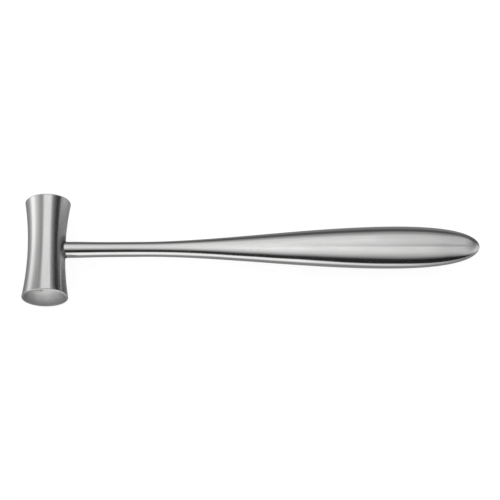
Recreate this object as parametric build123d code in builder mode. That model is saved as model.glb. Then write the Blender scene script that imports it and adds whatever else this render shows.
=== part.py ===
from build123d import *
from math import cos, radians, sin, sqrt, tan
import os

# Surgical mallet in satin stainless steel, 210 mm long, with a waisted head and a hollow spindle grip.
#
# The mallet lies on a table: the handle runs along +X, the head's own axis along Y, and Z is up. The
# origin is on the table, below the middle of the outline. The head is one turned bar with a tapped cross
# hole in its waist. The solid stem screws into that hole with an M6 thread and is brazed in place. The
# grip is two pressed half shells, welded to each other along a seam and to the stem around a ring.
# Millimetres and degrees throughout.

# Overall
OVERALL_LENGTH = 210.0

# Head, with lengths along its own axis measured from its middle. The corner radius is that of the turned
# edge before it is rounded, and the head radius is what the rounding leaves of it.
HEAD_RADIUS = 10.4
HEAD_CORNER_RADIUS = 10.45
HEAD_WAIST_RADIUS = 8.5
HEAD_HALF_LENGTH = 23.5
FACE_CROWN = 1.75
RIM_ROUND = 0.4

# Handle, with places along it measured from the head's axis
STEM_RADIUS_AT_HEAD = 3.7
STEM_TAPER_START = 10.0
NECK_RADIUS = 3.45
NECK_START = 32.0
NECK_END = 44.0
BELLY_RADIUS = 9.75
BELLY_AT = 159.6
BUTT_AT = OVERALL_LENGTH - HEAD_RADIUS
# How far each curve of the outline leaves its end straight: at the neck, before and after the belly, and
# up the rounded butt
FLARE_PULL = 35.0
BELLY_PULL_FRONT = 39.8
BELLY_PULL_REAR = 35.9
BUTT_PULL = 3.0

# Hollow grip. The seam is turned by that angle from upright, towards the head's near face.
SHELL_JOINT_AT = 96.0
SHELL_WALL = 1.2
WELD_WIDTH = 0.8
SEAM_TURN = 18.5
SPIGOT_LENGTH = 14.0
SPIGOT_RADIUS = 5.0

# M6 joint of the stem in the head
THREAD_PITCH = 1.0
THREAD_CREST_RADIUS = 2.97
THREAD_ROOT_RADIUS = 2.39
THREAD_CREST_FLAT = THREAD_PITCH / 8
THREAD_CLEARANCE = 0.05
THREAD_TURNS = 7
TAP_TURNS = 11
FLANK_ANGLE = 30.0
TENON_LENGTH = 10.0
TENON_RELIEF = 1.6
TENON_RELIEF_RADIUS = 2.25
TENON_CHAMFER = 0.4
COUNTERBORE_RADIUS = 3.2
HOLE_DEPTH = 11.8
DRILL_POINT_HALF_ANGLE = 59.0
SEAT_RADIUS = 4.8
SEAT_SINK = 0.3
BRAZE_COVE_RADIUS = 0.9

# The frame: the handle's axis stands a rim radius above the table, and the outline is centred along X
AXIS_HEIGHT = HEAD_RADIUS
HEAD_AT = HEAD_RADIUS - OVERALL_LENGTH / 2
# The stem's shoulder sits on a flat a little wider than itself, sunk into the round waist all the way round
SEAT_AT = sqrt(HEAD_WAIST_RADIUS**2 - SEAT_RADIUS**2) - SEAT_SINK
TENON_TIP_AT = SEAT_AT - TENON_LENGTH
THREAD_END_AT = SEAT_AT - TENON_RELIEF
# The stem's thread starts one turn behind the tenon's tip. The tapped thread starts one turn before it.
THREAD_START_AT = TENON_TIP_AT + THREAD_PITCH
TAP_START_AT = TENON_TIP_AT - THREAD_PITCH
SHELL_START_AT = SHELL_JOINT_AT + WELD_WIDTH / 2
STEM_END_AT = SHELL_JOINT_AT - WELD_WIDTH / 2

head_centre = Vector(HEAD_AT, 0, AXIS_HEIGHT)
handle_axis = Axis(head_centre, (1, 0, 0))
head_axis = Axis(head_centre, (0, 1, 0))
# Outlines of what turns about the handle's axis are drawn on this plane: x along the handle, y outwards
handle_plane = Plane(head_centre, x_dir=(1, 0, 0), z_dir=(0, -1, 0))
# And the outline of the head on this one: x outwards, away from the handle, y along the head
head_plane = Plane(head_centre, x_dir=(-1, 0, 0), z_dir=(0, 0, -1))

flank_angle = radians(FLANK_ANGLE)
seam_turn = radians(SEAM_TURN)
# The plane of the grip's seam, which holds the handle's axis and faces the left shell
seam_plane = Plane(head_centre, x_dir=(1, 0, 0), z_dir=(0, cos(seam_turn), sin(seam_turn)))


def across(distance):
    """A plane square to the handle, at that distance from the head's axis, facing the butt."""
    return Plane(head_centre + Vector(distance, 0, 0), x_dir=(0, 1, 0), z_dir=(1, 0, 0))


def draw_flare(inset=0.0):
    """Draw the grip's outline from the neck to the belly, with its skin inset."""
    neck = NECK_RADIUS - inset
    belly = BELLY_RADIUS - inset
    Bezier(
        (NECK_END, neck),
        (NECK_END + FLARE_PULL, neck),
        (BELLY_AT - BELLY_PULL_FRONT, belly),
        (BELLY_AT, belly),
    )


def draw_tail(inset=0.0):
    """Draw the grip's outline from the belly to the middle of the butt, with its skin inset."""
    belly = BELLY_RADIUS - inset
    butt = BUTT_AT - inset
    Bezier(
        (BELLY_AT, belly),
        (BELLY_AT + BELLY_PULL_REAR - inset, belly),
        (butt, BUTT_PULL - inset / 2),
        (butt, 0),
    )


def thread_ridge(start, turns, root, crest, crest_flat):
    """The helical ridge of the M6 thread, with that many turns, starting that far from the head's axis."""
    sink = 0.1
    base_flat = crest_flat + 2 * (crest - root + sink) * tan(flank_angle)
    start_centre = head_centre + Vector(start, 0, 0)
    with BuildPart() as ridge:
        with BuildLine():
            helix = Helix(THREAD_PITCH, turns * THREAD_PITCH, root, center=start_centre, direction=(1, 0, 0))
        with BuildSketch(Plane(helix @ 0, x_dir=(helix @ 0) - start_centre, z_dir=helix % 0)):
            with BuildLine():
                Polyline(
                    (-sink, -base_flat / 2),
                    (crest - root, -crest_flat / 2),
                    (crest - root, crest_flat / 2),
                    (-sink, base_flat / 2),
                    close=True,
                )
            make_face()
        sweep(path=helix, is_frenet=True)
    return ridge.part


# Head: a waisted bar with crowned faces, spot-faced and tapped where the stem screws in
crown_sphere = (HEAD_CORNER_RADIUS**2 + FACE_CROWN**2) / (2 * FACE_CROWN)
head_end = HEAD_HALF_LENGTH + FACE_CROWN
with BuildPart() as turned_bar:
    with BuildSketch(head_plane):
        with BuildLine():
            ThreePointArc(
                (HEAD_CORNER_RADIUS, -HEAD_HALF_LENGTH),
                (HEAD_WAIST_RADIUS, 0),
                (HEAD_CORNER_RADIUS, HEAD_HALF_LENGTH),
            )
            RadiusArc((HEAD_CORNER_RADIUS, HEAD_HALF_LENGTH), (0, head_end), -crown_sphere)
            Line((0, head_end), (0, -head_end))
            RadiusArc((0, -head_end), (HEAD_CORNER_RADIUS, -HEAD_HALF_LENGTH), -crown_sphere)
        make_face()
    revolve(axis=head_axis)
    fillet(turned_bar.edges().filter_by(lambda edge: edge.is_closed), radius=RIM_ROUND)

# The tapped thread is the stem's own thread, grown by the clearance on its crest and on both flanks
hole_radius = THREAD_ROOT_RADIUS + THREAD_CLEARANCE
tap_crest_flat = THREAD_CREST_FLAT + 2 * THREAD_CLEARANCE * (1 - sin(flank_angle)) / cos(flank_angle)
tap_crest = THREAD_CREST_RADIUS + THREAD_CLEARANCE
tap_ridge = thread_ridge(TAP_START_AT, TAP_TURNS, hole_radius, tap_crest, tap_crest_flat)
hole_bottom = SEAT_AT - HOLE_DEPTH
drill_point = hole_radius / tan(radians(DRILL_POINT_HALF_ANGLE))
with BuildPart() as head:
    add(turned_bar)
    with BuildSketch(handle_plane):
        with BuildLine():
            Polyline(
                (hole_bottom - drill_point, 0),
                (hole_bottom, hole_radius),
                (THREAD_END_AT, hole_radius),
                (THREAD_END_AT, COUNTERBORE_RADIUS),
                (SEAT_AT, COUNTERBORE_RADIUS),
                (SEAT_AT, SEAT_RADIUS),
                (HEAD_CORNER_RADIUS, SEAT_RADIUS),
                (HEAD_CORNER_RADIUS, 0),
                close=True,
            )
        make_face()
    revolve(axis=handle_axis, mode=Mode.SUBTRACT)
    add(tap_ridge, mode=Mode.SUBTRACT)

# The braze that fills the seat round the foot of the stem and coves up onto the stem and the waist
with BuildPart() as brazed_joint:
    add(turned_bar)
    with BuildSketch(across(0)):
        Circle(STEM_RADIUS_AT_HEAD)
    extrude(amount=STEM_TAPER_START + HEAD_RADIUS)
    beside_stem = brazed_joint.edges().filter_by_position(Axis.Y, -STEM_RADIUS_AT_HEAD, STEM_RADIUS_AT_HEAD)
    foot_edges = beside_stem.filter_by_position(Axis.X, HEAD_AT + SEAT_AT, HEAD_AT + HEAD_RADIUS)
    fillet(foot_edges, radius=BRAZE_COVE_RADIUS)
with BuildPart() as head_braze:
    add(brazed_joint)
    add(head, mode=Mode.SUBTRACT)
    with BuildSketch(across(-HEAD_WAIST_RADIUS)):
        Circle(STEM_RADIUS_AT_HEAD)
    extrude(amount=STEM_TAPER_START + 2 * HEAD_RADIUS, mode=Mode.SUBTRACT)

# Stem: the solid neck, with the threaded tenon in front and the spigot that carries the shells behind
with BuildPart() as flare:
    with BuildSketch(handle_plane):
        with BuildLine():
            draw_flare()
            Polyline((BELLY_AT, BELLY_RADIUS), (BELLY_AT, 0), (NECK_END, 0), (NECK_END, NECK_RADIUS))
        make_face()
    revolve(axis=handle_axis)
stem_ridge = thread_ridge(
    THREAD_START_AT, THREAD_TURNS, THREAD_ROOT_RADIUS, THREAD_CREST_RADIUS, THREAD_CREST_FLAT
)
taper = NECK_START - STEM_TAPER_START
with BuildPart() as handle_stem:
    add(flare)
    split(bisect_by=across(STEM_END_AT), keep=Keep.BOTTOM)
    with BuildSketch(handle_plane):
        with BuildLine():
            Line((SEAT_AT, STEM_RADIUS_AT_HEAD), (STEM_TAPER_START, STEM_RADIUS_AT_HEAD))
            Bezier(
                (STEM_TAPER_START, STEM_RADIUS_AT_HEAD),
                (STEM_TAPER_START + taper / 3, STEM_RADIUS_AT_HEAD),
                (NECK_START - taper / 2, NECK_RADIUS),
                (NECK_START, NECK_RADIUS),
            )
            Polyline(
                (NECK_START, NECK_RADIUS),
                (NECK_END, NECK_RADIUS),
                (NECK_END, 0),
                (TENON_TIP_AT, 0),
                (TENON_TIP_AT, THREAD_ROOT_RADIUS - TENON_CHAMFER),
                (TENON_TIP_AT + TENON_CHAMFER, THREAD_ROOT_RADIUS),
                (THREAD_END_AT, THREAD_ROOT_RADIUS),
                (THREAD_END_AT, TENON_RELIEF_RADIUS),
                (SEAT_AT, TENON_RELIEF_RADIUS),
                (SEAT_AT, STEM_RADIUS_AT_HEAD),
            )
        make_face()
    revolve(axis=handle_axis)
    add(stem_ridge)
    with BuildSketch(across(STEM_END_AT)):
        Circle(SPIGOT_RADIUS)
    extrude(amount=SPIGOT_LENGTH)

# Ring weld between the stem and the shells, ground flush
with BuildPart() as stem_weld:
    add(flare)
    split(bisect_by=across(STEM_END_AT), keep=Keep.TOP)
    split(bisect_by=across(SHELL_START_AT), keep=Keep.BOTTOM)
    with BuildSketch(across(STEM_END_AT)):
        Circle(SPIGOT_RADIUS)
    extrude(amount=WELD_WIDTH, mode=Mode.SUBTRACT)

# The two half shells of the grip, and the seam weld that runs between them and over the butt
with BuildSketch(seam_plane) as wall:
    with BuildLine():
        draw_flare()
        draw_tail()
        Line((BUTT_AT, 0), (BUTT_AT - SHELL_WALL, 0))
        draw_tail(SHELL_WALL)
        draw_flare(SHELL_WALL)
        Line((NECK_END, NECK_RADIUS - SHELL_WALL), (NECK_END, NECK_RADIUS))
    make_face()
    Rectangle(SHELL_START_AT, BELLY_RADIUS, align=Align.MIN, mode=Mode.SUBTRACT)
with BuildPart() as left_grip_shell:
    add(wall.sketch)
    revolve(axis=handle_axis, revolution_arc=180)
    split(bisect_by=seam_plane.offset(WELD_WIDTH / 2), keep=Keep.TOP)
with BuildPart() as right_grip_shell:
    add(wall.sketch)
    revolve(axis=handle_axis, revolution_arc=-180)
    split(bisect_by=seam_plane.offset(-WELD_WIDTH / 2), keep=Keep.BOTTOM)
with BuildPart() as seam_weld:
    with BuildSketch(seam_plane):
        add(wall.sketch_local)
        mirror(about=Plane.XZ)
    extrude(amount=WELD_WIDTH / 2, both=True)

os.makedirs("parts", exist_ok=True)
head.part.label = "head"
export_step(head.part, "parts/head.step")
head_braze.part.label = "head_braze"
export_step(head_braze.part, "parts/head_braze.step")
handle_stem.part.label = "handle_stem"
export_step(handle_stem.part, "parts/handle_stem.step")
stem_weld.part.label = "stem_weld"
export_step(stem_weld.part, "parts/stem_weld.step")
left_grip_shell.part.label = "left_grip_shell"
export_step(left_grip_shell.part, "parts/left_grip_shell.step")
right_grip_shell.part.label = "right_grip_shell"
export_step(right_grip_shell.part, "parts/right_grip_shell.step")
seam_weld.part.label = "seam_weld"
export_step(seam_weld.part, "parts/seam_weld.step")
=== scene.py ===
import math

import bmesh
import bpy
from mathutils import Matrix, Vector


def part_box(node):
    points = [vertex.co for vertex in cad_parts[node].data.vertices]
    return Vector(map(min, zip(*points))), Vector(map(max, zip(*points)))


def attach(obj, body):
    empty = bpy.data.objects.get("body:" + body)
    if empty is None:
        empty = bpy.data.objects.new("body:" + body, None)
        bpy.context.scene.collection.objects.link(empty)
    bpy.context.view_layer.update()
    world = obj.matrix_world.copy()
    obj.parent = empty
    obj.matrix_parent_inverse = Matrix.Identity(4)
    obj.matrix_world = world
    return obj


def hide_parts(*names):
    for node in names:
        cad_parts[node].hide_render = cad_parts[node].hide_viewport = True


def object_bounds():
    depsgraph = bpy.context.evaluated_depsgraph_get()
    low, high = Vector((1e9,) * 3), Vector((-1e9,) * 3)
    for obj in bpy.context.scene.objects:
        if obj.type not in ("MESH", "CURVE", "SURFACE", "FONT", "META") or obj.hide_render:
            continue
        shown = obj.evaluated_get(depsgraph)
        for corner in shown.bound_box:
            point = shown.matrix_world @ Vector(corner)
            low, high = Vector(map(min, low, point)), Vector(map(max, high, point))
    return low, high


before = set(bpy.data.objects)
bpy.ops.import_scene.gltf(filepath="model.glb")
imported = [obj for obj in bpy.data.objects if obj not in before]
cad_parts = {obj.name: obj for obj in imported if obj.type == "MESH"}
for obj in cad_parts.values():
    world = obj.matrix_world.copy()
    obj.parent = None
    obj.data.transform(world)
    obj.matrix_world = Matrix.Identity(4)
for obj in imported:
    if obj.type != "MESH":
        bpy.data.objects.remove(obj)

# Surgical mallet in satin stainless steel, lying on a white table at Z = 0. The handle runs along X with
# its butt at +X, the head's own axis runs along Y, and Z is up. Lengths are in metres, except where a
# comment says millimetres.

cad_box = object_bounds()
MM = 0.001

# The mallet's dimensions, as in the CAD. Places along the handle and the head are from the head's centre.
HEAD_CORNER_RADIUS = 10.45 * MM
HEAD_WAIST_RADIUS = 8.5 * MM
HEAD_HALF_LENGTH = 23.5 * MM
FACE_CROWN = 1.75 * MM
RIM_ROUND = 0.4 * MM
STEM_RADIUS_AT_HEAD = 3.7 * MM
STEM_TAPER_START = 10.0 * MM
NECK_RADIUS = 3.45 * MM
NECK_START = 32.0 * MM
NECK_END = 44.0 * MM
BELLY_RADIUS = 9.75 * MM
BELLY_AT = 159.6 * MM
FLARE_PULL = 35.0 * MM
BELLY_PULL_FRONT = 39.8 * MM
BELLY_PULL_REAR = 35.9 * MM
BUTT_PULL = 3.0 * MM
STEM_END_AT = 95.6 * MM
SHELL_START_AT = 96.4 * MM
SHELL_WALL = 1.2 * MM
SPIGOT_RADIUS = 5.0 * MM
SPIGOT_LENGTH = 14.0 * MM
SEAT_AT = 6.71 * MM
SEAT_RADIUS = 4.8 * MM
COUNTERBORE_RADIUS = 3.2 * MM
COUNTERBORE_DEPTH = 1.6 * MM
HOLE_RADIUS = 2.44 * MM
HOLE_DEPTH = 11.8 * MM
DRILL_POINT = 1.47 * MM
TENON_RADIUS = 2.25 * MM
TENON_LENGTH = 10.0 * MM
SEAM_HALF_WIDTH = 0.4 * MM
SEAM_TURN = math.radians(18.5)

box_low, box_high = (Vector(corner) for corner in cad_box)
box_centre = (box_low + box_high) / 2
head_low, head_high = (Vector(corner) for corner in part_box("head"))
head_centre = (head_low + head_high) / 2
butt_at = box_high.x - head_centre.x
X, Y, Z = Vector((1, 0, 0)), Vector((0, 1, 0)), Vector((0, 0, 1))
# The grip's seam lies in a plane that holds the handle's axis and leans towards the head's near face
seam_up = Matrix.Rotation(SEAM_TURN, 3, X) @ Z
seam_side = seam_up.cross(X)


# ------------------------------------------------- outlines
# Each point is a distance from the head's centre and a radius
TAPER_STEPS, GRIP_STEPS = 24, 120
CROWN_STEPS, RIM_STEPS, SIDE_STEPS = 40, 12, 40


def point(distance, radius):
    return Vector((distance, radius))


def polar(angle):
    return Vector((math.cos(angle), math.sin(angle)))


def bezier(p0, p1, p2, p3, count):
    points = []
    for i in range(count + 1):
        t = i / count
        k = 1 - t
        points.append(k ** 3 * p0 + 3 * k * k * t * p1 + 3 * k * t * t * p2 + t ** 3 * p3)
    return points


def neck_outline():
    """The slender part of the stem, from the head's seat to where the flare starts."""
    taper = NECK_START - STEM_TAPER_START
    start, end = point(STEM_TAPER_START, STEM_RADIUS_AT_HEAD), point(NECK_START, NECK_RADIUS)
    curve = bezier(start, start + point(taper / 3, 0), end - point(taper / 2, 0), end, TAPER_STEPS)
    return [point(SEAT_AT, STEM_RADIUS_AT_HEAD)] + curve


def grip_outline(inset=0.0):
    """The flare from the neck to the belly, then the tail to the middle of the butt, with its skin inset."""
    neck, belly = point(NECK_END, NECK_RADIUS - inset), point(BELLY_AT, BELLY_RADIUS - inset)
    butt = point(butt_at - inset, 0)
    front_pull, rear_pull = point(BELLY_PULL_FRONT, 0), point(BELLY_PULL_REAR - inset, 0)
    butt_pull = point(0, BUTT_PULL - inset / 2)
    flare = bezier(neck, neck + point(FLARE_PULL, 0), belly - front_pull, belly, GRIP_STEPS)
    return flare + bezier(belly, belly + rear_pull, butt + butt_pull, butt, GRIP_STEPS)[1:]


def cut(outline, distance):
    """An outline's points before and after a distance, both with a new point there."""
    i = next(i for i, p in enumerate(outline) if p.x > distance)
    a, b = outline[i - 1], outline[i]
    between = a.lerp(b, (distance - a.x) / (b.x - a.x))
    return outline[:i] + [between], [between] + outline[i:]


def head_outline():
    """From the middle of one striking face over the waist to the middle of the other."""
    sag = HEAD_CORNER_RADIUS - HEAD_WAIST_RADIUS
    side_arc = (HEAD_HALF_LENGTH ** 2 + sag ** 2) / (2 * sag)
    crown_arc = (HEAD_CORNER_RADIUS ** 2 + FACE_CROWN ** 2) / (2 * FACE_CROWN)
    side_centre = point(0, HEAD_WAIST_RADIUS + side_arc)
    crown_centre = point(HEAD_HALF_LENGTH + FACE_CROWN - crown_arc, 0)
    # The rim's round touches the crown's arc from inside and the side's arc from outside
    to_crown, to_side = crown_arc - RIM_ROUND, side_arc + RIM_ROUND
    between = side_centre - crown_centre
    ahead = between.normalized()
    along = (to_crown ** 2 - to_side ** 2 + between.length_squared) / (2 * between.length)
    aside = math.sqrt(to_crown ** 2 - along ** 2)
    rim_centre = crown_centre + along * ahead + aside * point(ahead.y, -ahead.x)
    to_rim, to_waist = rim_centre - crown_centre, side_centre - rim_centre
    crown_end, rim_end = math.atan2(to_rim.y, to_rim.x), math.atan2(to_waist.y, to_waist.x)
    half = [crown_centre + crown_arc * polar(crown_end * i / CROWN_STEPS) for i in range(CROWN_STEPS)]
    for i in range(RIM_STEPS):
        half.append(rim_centre + RIM_ROUND * polar(crown_end + (rim_end - crown_end) * i / RIM_STEPS))
    side_end = (rim_centre + RIM_ROUND * polar(rim_end)).x
    for i in range(SIDE_STEPS + 1):
        distance = side_end * (1 - i / SIDE_STEPS)
        half.append(point(distance, side_centre.y - math.sqrt(side_arc ** 2 - distance ** 2)))
    return [point(-p.x, p.y) for p in half] + list(reversed(half[:-1]))


def corners(*places):
    """The straight runs between corner points."""
    points = [point(*place) for place in places]
    return [list(run) for run in zip(points, points[1:])]


# ------------------------------------------------- turned meshes
EXACT = "exact_normal"
SEGMENTS = 160


def turned(runs, axis, across):
    """A mesh turned about an axis through the head's centre.

    Its outline is smooth runs, end to end, with the metal on their right. Each corner's exact normal is kept
    in an attribute, which lasts when the mesh is cut.
    """
    up = axis.cross(across)
    spokes = [across * math.cos(angle) + up * math.sin(angle)
              for angle in (2 * math.pi * j / SEGMENTS for j in range(SEGMENTS))]
    vertices, rows = [], {}

    def row(p):
        """The vertices round the axis at an outline's point, all the same one where it is on the axis."""
        key = (round(p.x, 9), round(p.y, 9))
        if key not in rows:
            count = 1 if key[1] == 0 else SEGMENTS
            rows[key] = [len(vertices) + j % count for j in range(SEGMENTS)]
            vertices.extend(head_centre + axis * p.x + spoke * p.y for spoke in spokes[:count])
        return rows[key]

    faces, normals = [], []
    for run in runs:
        last = len(run) - 1
        slopes = [run[min(i + 1, last)] - run[max(i - 1, 0)] for i in range(len(run))]
        outward = [point(-slope.y, slope.x).normalized() for slope in slopes]
        for i in range(last):
            here, there = row(run[i]), row(run[i + 1])
            for j in range(SEGMENTS):
                k = (j + 1) % SEGMENTS
                # Two corners on the axis are one vertex, and so one key
                face = {here[j]: (i, j), here[k]: (i, k), there[k]: (i + 1, k), there[j]: (i + 1, j)}
                faces.append(list(face))
                normals += [axis * outward[m].x + spokes[n] * outward[m].y for m, n in face.values()]
    mesh = bpy.data.meshes.new("turned")
    mesh.from_pydata(vertices, [], faces)
    exact = mesh.attributes.new(EXACT, "FLOAT_VECTOR", "CORNER")
    exact.data.foreach_set("vector", [value for normal in normals for value in normal])
    return mesh


def sliced(mesh, offset, side):
    """The part of a mesh beyond an offset from the handle's axis on one side, closed with a flat face."""
    made = bmesh.new()
    made.from_mesh(mesh)
    place = head_centre + side * offset
    found = bmesh.ops.bisect_plane(
        made, geom=made.verts[:] + made.edges[:] + made.faces[:], plane_co=place, plane_no=-side,
        clear_outer=True,
    )["geom_cut"]
    rim = [piece for piece in found if isinstance(piece, bmesh.types.BMEdge)]
    layer = made.loops.layers.float_vector[EXACT]
    for face in bmesh.ops.edgenet_fill(made, edges=rim)["faces"]:
        if face.normal.dot(side) > 0:
            face.normal_flip()
        for loop in face.loops:
            loop[layer] = (0, 0, 0)
    part = bpy.data.meshes.new("sliced")
    made.to_mesh(part)
    made.free()
    return part


def drilled(mesh, drill_mesh):
    """A mesh with another taken out of it."""
    work, drill = bpy.data.objects.new("work", mesh), bpy.data.objects.new("drill", drill_mesh)
    for thing in (work, drill):
        bpy.context.scene.collection.objects.link(thing)
    boolean = work.modifiers.new("hole", "BOOLEAN")
    boolean.object = drill
    boolean.solver = "EXACT"
    made = bpy.data.meshes.new_from_object(work.evaluated_get(bpy.context.evaluated_depsgraph_get()))
    for thing in (work, drill):
        bpy.data.objects.remove(thing)
    return made


def make_piece(name, mesh, replaced, material):
    """One piece with its exact normals, and flat ones where it was sliced."""
    mesh.name = name
    mesh.materials.clear()
    mesh.materials.append(material)
    mesh.shade_smooth()
    exact = mesh.attributes[EXACT]
    normals = []
    for polygon in mesh.polygons:
        for loop in polygon.loop_indices:
            normal = Vector(exact.data[loop].vector)
            if normal.length < 0.5:
                normal = polygon.normal.copy()
            elif normal.dot(polygon.normal) < 0:
                normal.negate()
            normals.append(normal.normalized())
    mesh.attributes.remove(exact)
    mesh.normals_split_custom_set(normals)
    piece = bpy.data.objects.new(name, mesh)
    bpy.context.scene.collection.objects.link(piece)
    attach(piece, "root")
    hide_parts(replaced)


# ------------------------------------------------- shader building
def add(tree, kind, inputs, **settings):
    """Add a shader node; an input is either another node's output or a plain value."""
    made = tree.nodes.new("ShaderNode" + kind)
    for name, value in settings.items():
        setattr(made, name, value)
    for name, value in inputs.items():
        if isinstance(value, bpy.types.NodeSocket):
            tree.links.new(value, made.inputs[name])
        else:
            made.inputs[name].default_value = value
    return made


def calculate(tree, operation, *values):
    return add(tree, "Math", dict(enumerate(values)), operation=operation).outputs[0]


def product(tree, first, *others):
    for other in others:
        first = calculate(tree, "MULTIPLY", first, other)
    return first


def length(tree, a, b):
    """How far a place is from an axis, from its two parts across the axis."""
    squares = [calculate(tree, "POWER", part, 2) for part in (a, b)]
    return calculate(tree, "SQRT", calculate(tree, "ADD", *squares))


def split(tree, vector):
    return add(tree, "SeparateXYZ", {"Vector": vector}).outputs


def rescale(tree, value, low, high, new_low=0, new_high=1, interpolation="SMOOTHSTEP", clamp=True):
    """Carry a value from between low and high over to between new_low and new_high."""
    inputs = {"Value": value, "From Min": low, "From Max": high, "To Min": new_low, "To Max": new_high}
    made = add(tree, "MapRange", inputs, interpolation_type=interpolation, clamp=clamp)
    return made.outputs["Result"]


def ramp(tree, value, stops, interpolation="EASE"):
    """A smooth function of a value, through (value, result) stops with no result below zero."""
    first, last = stops[0][0], stops[-1][0]
    highest = max(result for _, result in stops)
    place = rescale(tree, value, first, last, interpolation="LINEAR")
    made = add(tree, "ValToRGB", {"Fac": place})
    elements = made.color_ramp.elements
    made.color_ramp.interpolation = interpolation
    for stop, _ in stops[1:-1]:
        elements.new((stop - first) / (last - first))
    for element, (_, result) in zip(elements, stops):
        element.color = (result / highest,) * 3 + (1,)
    return calculate(tree, "MULTIPLY", made.outputs["Color"], highest)


# ------------------------------------------------- steel
# Each noise has its features per metre along and across the grinding, and its detail
GRINDING, WAVINESS, CLOUDS = (60, 4200, 3), (8, 900, 2), (60, 140, 2)
NOISE_LOW, NOISE_HIGH = 0.3, 0.7
GRINDING_ROUGHNESS, CLOUD_ROUGHNESS = 0.03, 0.015
GRINDING_SHADE, WAVINESS_SHADE = 0.94, 0.95
GRINDING_HEIGHT, WAVINESS_HEIGHT, BUMP_STRENGTH = 0.001 * MM, 0.003 * MM, 0.2


def steel(name, tone, roughness, grain_axis, wear_and_painted_shade=None):
    """Satin steel with fine grinding lines along one axis.

    The optional last argument makes two values that differ from place to place: how much rougher the worn
    steel is, and a painted shade that its tone is multiplied by.
    """
    material = bpy.data.materials.new(name)
    material.use_nodes = True
    tree = material.node_tree
    place = add(tree, "TexCoord", {}).outputs["Object"]

    def noise(along, across, detail):
        scale = [along if axis == grain_axis else across for axis in "XYZ"]
        stretched = add(tree, "Mapping", {"Vector": place, "Scale": scale}).outputs["Vector"]
        return add(tree, "TexNoise", {"Vector": stretched, "Scale": 1, "Detail": detail}).outputs["Fac"]

    def spread(grain, lowest, highest):
        return rescale(tree, grain, NOISE_LOW, NOISE_HIGH, lowest, highest)

    def relief(grain, height, **below):
        inputs = {"Height": grain, "Strength": BUMP_STRENGTH, "Distance": height, **below}
        return add(tree, "Bump", inputs).outputs["Normal"]

    grinding, waviness, clouds = noise(*GRINDING), noise(*WAVINESS), noise(*CLOUDS)
    dull = spread(grinding, roughness - GRINDING_ROUGHNESS, roughness + GRINDING_ROUGHNESS)
    dull = calculate(tree, "ADD", dull, spread(clouds, -CLOUD_ROUGHNESS, CLOUD_ROUGHNESS))
    shade = product(tree, spread(grinding, GRINDING_SHADE, 1), spread(waviness, WAVINESS_SHADE, 1))
    if wear_and_painted_shade:
        # Rougher where the steel is worn, and darker where shade is painted into the tone
        duller, darker = wear_and_painted_shade(tree, place)
        dull = calculate(tree, "ADD", dull, duller)
        shade = calculate(tree, "MULTIPLY", shade, darker)
    colour = add(tree, "VectorMath", {0: tone, 1: shade}, operation="MULTIPLY").outputs["Vector"]
    lines = relief(grinding, GRINDING_HEIGHT)
    shader = tree.nodes["Principled BSDF"]
    shader.inputs["Metallic"].default_value = 1
    tree.links.new(colour, shader.inputs["Base Color"])
    tree.links.new(dull, shader.inputs["Roughness"])
    tree.links.new(relief(waviness, WAVINESS_HEIGHT, Normal=lines), shader.inputs["Normal"])
    return material


# The head is rougher at its two broken rims and round the stem's foot, and has painted shade round the foot,
# deepest in the corner at the foot
WORN_ROUGHNESS = 0.25
RIM_WEAR_START, RIM_WEAR_FULL = 0.75 * MM, 0.3 * MM
FLANK_START, FLANK_FULL = 0.8 * SEAT_AT, 1.15 * SEAT_AT
FOOT_FULL, FOOT_END, FOOT_SHADE = 1.2 * SEAT_RADIUS, 3.4 * SEAT_RADIUS, 0.12
CORNER_FULL, CORNER_END, CORNER_SHADE = 1.1 * SEAT_RADIUS, 1.6 * SEAT_RADIUS, 0.5


def rims_and_foot(tree, place):
    """The head's worn, rougher places, and its painted shade round the stem's foot."""
    parts = split(tree, place)
    away = calculate(tree, "SUBTRACT", parts["X"], head_centre.x)
    height = calculate(tree, "SUBTRACT", parts["Z"], head_centre.z)
    beyond = calculate(tree, "ADD", calculate(tree, "ABSOLUTE", parts["Y"]), length(tree, away, height))
    outermost = HEAD_HALF_LENGTH + HEAD_CORNER_RADIUS
    rim = rescale(tree, beyond, outermost - RIM_WEAR_START, outermost - RIM_WEAR_FULL)
    from_stem = length(tree, parts["Y"], height)
    on_flank = rescale(tree, away, FLANK_START, FLANK_FULL)
    foot = rescale(tree, from_stem, FOOT_FULL, FOOT_END, on_flank, 0)
    corner = rescale(tree, from_stem, CORNER_FULL, CORNER_END, CORNER_SHADE, 0)
    duller = calculate(tree, "MULTIPLY", calculate(tree, "MAXIMUM", rim, foot), WORN_ROUGHNESS)
    # Painted shade: the tone is darkened round the stem's foot, and most in the corner at the foot, where
    # shade falls
    painted_shade = calculate(tree, "ADD", product(tree, on_flank, corner), product(tree, foot, FOOT_SHADE))
    return duller, calculate(tree, "SUBTRACT", 1, painted_shade)


head_steel = steel("head_steel", (0.7, 0.7, 0.695), 0.17, "Y", rims_and_foot)
handle_steel = steel("handle_steel", (0.68, 0.68, 0.675), 0.13, "X")
weld_steel = steel("weld_steel", (0.665, 0.665, 0.66), 0.14, "X")
# The braze is its own darker metal, made darker still as painted shade in the corner at the stem's foot
braze_metal = steel("braze_metal", (0.18, 0.18, 0.175), 0.34, "X")

# ------------------------------------------------- the mallet
# The braze is the CAD's own mesh. Turned meshes stand in for the rest, because their exact normals keep the
# reflections smooth. Their hole and tenon are plain, without the CAD's thread.
bpy.data.objects["head_braze"].material_slots[0].material = braze_metal

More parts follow.
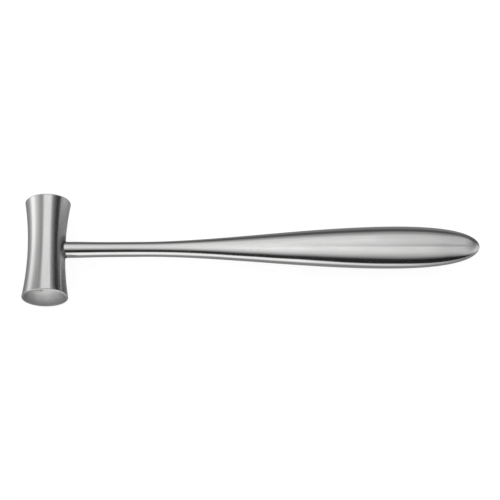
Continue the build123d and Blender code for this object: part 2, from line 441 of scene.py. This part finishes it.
hole_bottom = SEAT_AT - HOLE_DEPTH
hole = corners(
    (hole_bottom - DRILL_POINT, 0), (hole_bottom, HOLE_RADIUS), (SEAT_AT - COUNTERBORE_DEPTH, HOLE_RADIUS),
    (SEAT_AT - COUNTERBORE_DEPTH, COUNTERBORE_RADIUS), (SEAT_AT, COUNTERBORE_RADIUS), (SEAT_AT, SEAT_RADIUS),
    (HEAD_CORNER_RADIUS, SEAT_RADIUS), (HEAD_CORNER_RADIUS, 0),
)
head_mesh = drilled(turned([head_outline()], Y, Z), turned(hole, X, seam_up))
make_piece("head_body", head_mesh, "head", head_steel)

stem_flare, rest = cut(grip_outline(), STEM_END_AT)
ring_outer, shell_outer = cut(rest, SHELL_START_AT)
tenon = corners((SEAT_AT - TENON_LENGTH, 0), (SEAT_AT - TENON_LENGTH, TENON_RADIUS), (SEAT_AT, TENON_RADIUS),
                (SEAT_AT, STEM_RADIUS_AT_HEAD))
spigot = corners(tuple(stem_flare[-1]), (STEM_END_AT, SPIGOT_RADIUS),
                 (STEM_END_AT + SPIGOT_LENGTH, SPIGOT_RADIUS), (STEM_END_AT + SPIGOT_LENGTH, 0))
stem_mesh = turned(tenon + [neck_outline() + stem_flare] + spigot, X, seam_up)
make_piece("stem_body", stem_mesh, "handle_stem", handle_steel)

ring_inner = corners(tuple(ring_outer[-1]), (SHELL_START_AT, SPIGOT_RADIUS), (STEM_END_AT, SPIGOT_RADIUS),
                     tuple(ring_outer[0]))
make_piece("ring_weld", turned([ring_outer] + ring_inner, X, seam_up), "stem_weld", weld_steel)

# The grip's hollow wall, turned whole and sliced into its two shells and the seam between them
_, shell_inner = cut(grip_outline(SHELL_WALL), SHELL_START_AT)
mouth = corners(tuple(shell_inner[0]), tuple(shell_outer[0]))
wall = turned([shell_outer, list(reversed(shell_inner))] + mouth, X, seam_up)
for side_name, side in (("left", seam_side), ("right", -seam_side)):
    shell = sliced(wall, SEAM_HALF_WIDTH, side)
    make_piece("shell_" + side_name, shell, side_name + "_grip_shell", handle_steel)
seam = sliced(sliced(wall, -SEAM_HALF_WIDTH, seam_side), -SEAM_HALF_WIDTH, -seam_side)
make_piece("seam_strip", seam, "seam_weld", weld_steel)


# ------------------------------------------------- table and light
def staged(name, vertices, faces, material):
    mesh = bpy.data.meshes.new(name)
    mesh.from_pydata(vertices, [], faces)
    mesh.materials.append(material)
    made = bpy.data.objects.new(name, mesh)
    bpy.context.scene.collection.objects.link(made)
    return made


def only_in_reflections(card):
    card.visible_camera = False
    card.visible_diffuse = False
    card.visible_transmission = False
    card.visible_shadow = False
    card.visible_glossy = True


def glowing(name):
    """A new material that only glows, with its node tree and its object coordinates."""
    material = bpy.data.materials.new(name)
    material.use_nodes = True
    material.cycles.emission_sampling = "NONE"
    tree = material.node_tree
    tree.nodes.clear()
    return material, tree, add(tree, "TexCoord", {}).outputs["Object"]


def finish_glow(tree, brightness):
    shine = add(tree, "Emission", {"Color": (1, 1, 1, 1), "Strength": brightness}).outputs[0]
    add(tree, "OutputMaterial", {"Surface": shine})


def lean_and_side(tree, parts):
    """A direction's angle from straight up towards the front (-Y), and towards the butt (+X), in degrees."""
    forward = calculate(tree, "MULTIPLY", parts["Y"], -1)
    lean = calculate(tree, "DEGREES", calculate(tree, "ARCTAN2", forward, parts["Z"]))
    side = calculate(tree, "DEGREES", calculate(tree, "ARCTAN2", parts["X"], parts["Z"]))
    return lean, side


TABLE_HALF = 3.0
TABLE_TONE, TABLE_ROUGHNESS, TABLE_GLOW, SKY_GLOW = 0.12, 0.9, 0.9, 1.1
paper = bpy.data.materials.new("white_light_table")
paper.use_nodes = True
surface = paper.node_tree.nodes["Principled BSDF"].inputs
surface["Base Color"].default_value = (TABLE_TONE, TABLE_TONE, TABLE_TONE, 1)
surface["Roughness"].default_value = TABLE_ROUGHNESS
surface["Emission Color"].default_value = (1, 1, 1, 1)
surface["Emission Strength"].default_value = TABLE_GLOW
table_corners = [(-TABLE_HALF, -TABLE_HALF, 0), (TABLE_HALF, -TABLE_HALF, 0)]
table_corners += [(TABLE_HALF, TABLE_HALF, 0), (-TABLE_HALF, TABLE_HALF, 0)]
table = staged("table", table_corners, [(0, 1, 2, 3)], paper)
table.visible_glossy = False

world = bpy.data.worlds.new("studio")
bpy.context.scene.world = world
world.use_nodes = True
sky = world.node_tree.nodes["Background"].inputs
sky["Color"].default_value = (1, 1, 1, 1)
sky["Strength"].default_value = SKY_GLOW

# ------------------------------------------------- the room that the steel mirrors, on a far sphere
ROOM_RADIUS = 2.5
HEAD_SWING_PIVOT = 0.35
# Where one pattern takes over from another, by a direction's part along X, or along Y for the third
HEAD_TAKES_OVER, TIP_TAKES_OVER, REAR_TAKES_OVER = (0.2, 0.32), (0.4, 0.52), (0.66, 0.74)


def room_material():
    """A soft box overhead, a strip light low on the left, a dark corner on the right, pale grey around.

    The handle's reflections leave nearly square to X and see across_handle, and the head's leave along X and
    see across_head. behind_tip is what the butt's rear edge sees.
    """
    material, tree, place = glowing("room")
    parts = split(tree, add(tree, "VectorMath", {0: place}, operation="NORMALIZE").outputs["Vector"])
    lean, side = lean_and_side(tree, parts)
    across_handle = ramp(tree, lean, [
        (-180, 0.3), (-120, 0.3), (-107, 0.26), (-90, 0.11), (-80, 0.11), (-62, 0.45), (-42, 0.94),
        (-20, 1.06), (45, 1.08), (66, 0.8), (90, 0.1), (112, 0.1), (130, 0.22), (180, 0.22),
    ])
    # The lights that the head sees slant with Y, and so do its bands along its length
    rearward = calculate(tree, "SUBTRACT", parts["Y"], HEAD_SWING_PIVOT)
    swing = rescale(tree, side, -90, 40, -42, 28, interpolation="LINEAR")
    swung = calculate(tree, "SUBTRACT", side, calculate(tree, "MULTIPLY", rearward, swing))
    across_head = ramp(tree, swung, [
        (-180, 0.35), (-132, 0.32), (-112, 0.45), (-101, 0.7), (-89, 1.4), (-78, 1.4), (-60, 0.82),
        (-47, 0.55), (-34, 0.36), (-25, 0.44), (-14, 1.04), (10, 1.1), (19, 1.04), (29, 0.36), (46, 0.12),
        (56, 0.04), (66, 0.04), (80, 0.27), (129, 0.3), (180, 0.35),
    ])
    # Low on either side they get dimmer towards the back
    left = ramp(tree, parts["Y"], [(0.2, 1.0), (0.36, 0.95), (0.45, 0.8), (0.6, 0.65)])
    right = ramp(tree, parts["Y"], [
        (0.2, 2.4), (0.25, 2.1), (0.3, 1.3), (0.36, 0.95), (0.45, 0.7), (0.55, 0.45),
    ])
    dimmed = rescale(tree, side, 70, 80, rescale(tree, side, -60, -40, left, 1), right)
    across_head = calculate(tree, "MULTIPLY", across_head, dimmed)
    behind_tip = ramp(tree, lean, [
        (-180, 0.3), (-130, 0.27), (-107, 0.14), (-86, 0.15), (-74, 0.26), (-62, 0.43), (-42, 0.6),
        (180, 0.6),
    ])
    outward = calculate(tree, "ABSOLUTE", parts["X"])
    ahead = rescale(tree, outward, *HEAD_TAKES_OVER, across_handle, across_head)
    behind = rescale(tree, outward, *TIP_TAKES_OVER, across_handle, behind_tip)
    finish_glow(tree, rescale(tree, parts["Y"], *REAR_TAKES_OVER, ahead, behind))
    return material


bpy.ops.mesh.primitive_ico_sphere_add(subdivisions=5, radius=ROOM_RADIUS, location=(0, 0, head_centre.z))
sphere = bpy.context.object
sphere.name = "room"
sphere.data.materials.append(room_material())
only_in_reflections(sphere)

# ------------------------------------------------- a sheet curved round the handle
SHEET_RADIUS = 70 * MM
FRONT_SHEET_START, BUTT_SHEET_START, BUTT_SHEET_END = -100 * MM, 62 * MM, 600 * MM
FRONT_SHEET_LEAN, BUTT_SHEET_LEAN, SHEET_LAST_LEAN, SHEET_STEP = -5, -68, 180, 2
REAR_SHADE_TURN = 4
FAR_TAKES_OVER = (150, 240)


def sheet_material():
    """A white sheet with a black gap and a bright strip below its lower edge, all three lower at the butt.

    Places along the handle are in millimetres from the middle of the mallet, and leans are in degrees. The
    far part, past the butt, has a plain pattern of its own.
    """
    material, tree, place = glowing("curved_sheet")
    parts = split(tree, place)
    lean, _ = lean_and_side(tree, parts)
    x = calculate(tree, "DIVIDE", parts["X"], MM)
    sheet_edge = ramp(tree, x, [
        (-70, 25), (-55, 27), (-35, 41), (-18, 58), (3, 69), (30, 75), (71, 82), (102, 86), (127, 91),
        (147, 104), (163, 118), (200, 132),
    ], "CARDINAL")
    strip_start = ramp(tree, x, [
        (-70, 60), (-52, 61), (-35, 72), (-18, 87), (3, 97), (22, 101), (40, 109), (60, 115), (80, 117),
        (100, 122), (160, 126), (200, 138),
    ], "CARDINAL")
    strip_end = ramp(tree, x, [
        (-70, 110), (-20, 120), (3, 128), (22, 131), (60, 136), (90, 143), (160, 150), (200, 160),
    ], "CARDINAL")
    strip_light = ramp(tree, x, [
        (-70, 1.3), (20, 1.3), (35, 1.1), (60, 1.0), (80, 0.9), (105, 0.55), (120, 0.42), (140, 0.28),
        (160, 0.25),
    ])
    sheet_light = ramp(tree, x, [
        (-100, 1.2), (0, 1.18), (40, 1.06), (60, 0.98), (90, 0.88), (127, 0.73), (155, 0.7), (180, 0.64),
        (220, 0.55),
    ])

    # The sheet is shaded towards its lower edge and behind the handle, and has a soft dark fold near its top
    sheet = ramp(tree, calculate(tree, "SUBTRACT", lean, sheet_edge), [
        (-240, 1), (-44, 1), (-33, 0.9), (-20, 0.7), (-10, 0.48), (-2, 0.25), (5, 0.05), (12, 0.025),
        (90, 0.025),
    ])
    tip_turn = ramp(tree, x, [(60, 0), (75, 1), (105, 2), (150, 16)])
    rear_lean = calculate(tree, "SUBTRACT", calculate(tree, "ADD", lean, tip_turn), REAR_SHADE_TURN)
    rear_shade = ramp(tree, rear_lean, [
        (-110, 0.26), (-100, 0.25), (-90, 0.11), (-80, 0.11), (-62, 0.45), (-42, 0.9), (-20, 0.97),
        (8, 0.99), (18, 1.06), (180, 1.06),
    ])
    fold_lean, fold_depth = rescale(tree, x, 0, 70, 1, 14), rescale(tree, x, -20, 120, 0, 0.3)
    fold = ramp(tree, calculate(tree, "SUBTRACT", lean, fold_lean), [
        (-18, 0), (-7, 0.5), (-1, 1), (3, 0.9), (10, 0),
    ])
    fold = calculate(tree, "MULTIPLY", fold, fold_depth)
    sheet = product(tree, sheet, rear_shade, sheet_light, calculate(tree, "SUBTRACT", 1, fold))

    # The strip lights up between its two edges, and past it there is a pale grey
    through = rescale(tree, lean, strip_start, strip_end, interpolation="LINEAR", clamp=False)
    strip = ramp(tree, through, [(-0.05, 0), (0.25, 1), (0.6, 1), (1.2, 0)])
    strip = calculate(tree, "MULTIPLY", strip, strip_light)
    beyond = ramp(tree, through, [(0.6, 0), (1.2, 0.28)])
    near = calculate(tree, "ADD", sheet, calculate(tree, "ADD", strip, beyond))
    far = ramp(tree, lean, [
        (-68, 0.24), (-38, 0.32), (15, 0.42), (45, 0.5), (75, 0.62), (103, 0.82), (180, 0.82),
    ])
    finish_glow(tree, rescale(tree, x, *FAR_TAKES_OVER, near, far))
    return material


curved = sheet_material()


def curved_sheet(name, start, end, first_lean):
    """Part of a tube round the handle's axis, seen only in reflections."""
    steps = round((SHEET_LAST_LEAN - first_lean) / SHEET_STEP)
    vertices = []
    for i in range(steps + 1):
        angle = math.radians(first_lean + (SHEET_LAST_LEAN - first_lean) * i / steps)
        across, up = -SHEET_RADIUS * math.sin(angle), SHEET_RADIUS * math.cos(angle)
        vertices += [(start, across, up), (end, across, up)]
    faces = [(2 * i, 2 * i + 1, 2 * i + 3, 2 * i + 2) for i in range(steps)]
    card = staged(name, vertices, faces, curved)
    card.location.z = head_centre.z
    only_in_reflections(card)


curved_sheet("front_sheet", FRONT_SHEET_START, BUTT_SHEET_START, FRONT_SHEET_LEAN)
curved_sheet("butt_sheet", BUTT_SHEET_START, BUTT_SHEET_END, BUTT_SHEET_LEAN)

# ------------------------------------------------- a small card leaning out under each striking face
# The outline is in millimetres across and up. Its corner by the stem is cut off.
FACE_CARD_OUTLINE = [(-15, -9), (12, -9), (12, 4), (10, 6), (7.5, 13.5), (-15, 13.5)]
FACE_CARD_FOOT, FACE_CARD_TOP, FACE_CARD_SHIFT = 0.2 * MM, 7 * MM, 0.5 * MM
FACE_CARD_LEAST_GLOW = 0.19


def face_card_material():
    """Bright at the card's top, dark at its foot and towards its sides."""
    material, tree, place = glowing("face_card")
    parts = split(tree, place)
    across = ramp(tree, calculate(tree, "DIVIDE", parts["X"], MM), [
        (-13, 0), (-9, 0.4), (-4, 0.85), (1, 1), (6, 0.75), (11, 0.3), (14, 0.25),
    ])
    upward = ramp(tree, calculate(tree, "DIVIDE", parts["Z"], MM), [
        (-9, 0.04), (-4, 0.07), (1, 0.18), (7, 0.37), (13, 0.62),
    ])
    finish_glow(tree, calculate(tree, "ADD", FACE_CARD_LEAST_GLOW, product(tree, across, upward)))
    return material


face_glow = face_card_material()
lowest, highest = FACE_CARD_OUTLINE[0][1], FACE_CARD_OUTLINE[-1][1]
for name, facing in (("front_face_card", -1), ("rear_face_card", 1)):
    vertices = []
    for across, up in FACE_CARD_OUTLINE:
        out = FACE_CARD_FOOT + (FACE_CARD_TOP - FACE_CARD_FOOT) * (up - lowest) / (highest - lowest)
        vertices.append((across * MM, out, up * MM))
    card = staged(name, vertices, [tuple(range(len(vertices)))], face_glow)
    card.location = (head_centre.x + FACE_CARD_SHIFT, facing * head_high.y, 0)
    card.scale.y = facing
    only_in_reflections(card)

# ------------------------------------------------- camera
CAMERA_AZIMUTH = math.radians(-7.949)
CAMERA_ELEVATION = math.radians(65.522)
CAMERA_ROLL = math.radians(6.834)
CAMERA_DISTANCE = 605.6 * MM
CAMERA_LENS, CAMERA_SENSOR = 94.87, 36
AIM_OFFSET = Vector((-1.72, -0.71, 0)) * MM
aim = box_centre + AIM_OFFSET
back = Vector((
    math.sin(CAMERA_AZIMUTH) * math.cos(CAMERA_ELEVATION),
    -math.cos(CAMERA_AZIMUTH) * math.cos(CAMERA_ELEVATION),
    math.sin(CAMERA_ELEVATION),
))
camera_data = bpy.data.cameras.new("camera")
camera_data.sensor_width = CAMERA_SENSOR
camera_data.lens = CAMERA_LENS
camera = bpy.data.objects.new("camera", camera_data)
bpy.context.scene.collection.objects.link(camera)
camera.location = aim + back * CAMERA_DISTANCE
upright_view = back.to_track_quat("Z", "Y").to_matrix()
camera.rotation_euler = (upright_view @ Matrix.Rotation(CAMERA_ROLL, 3, "Z")).to_euler()
bpy.context.scene.camera = camera
bpy.context.scene.view_settings.view_transform = "Standard"
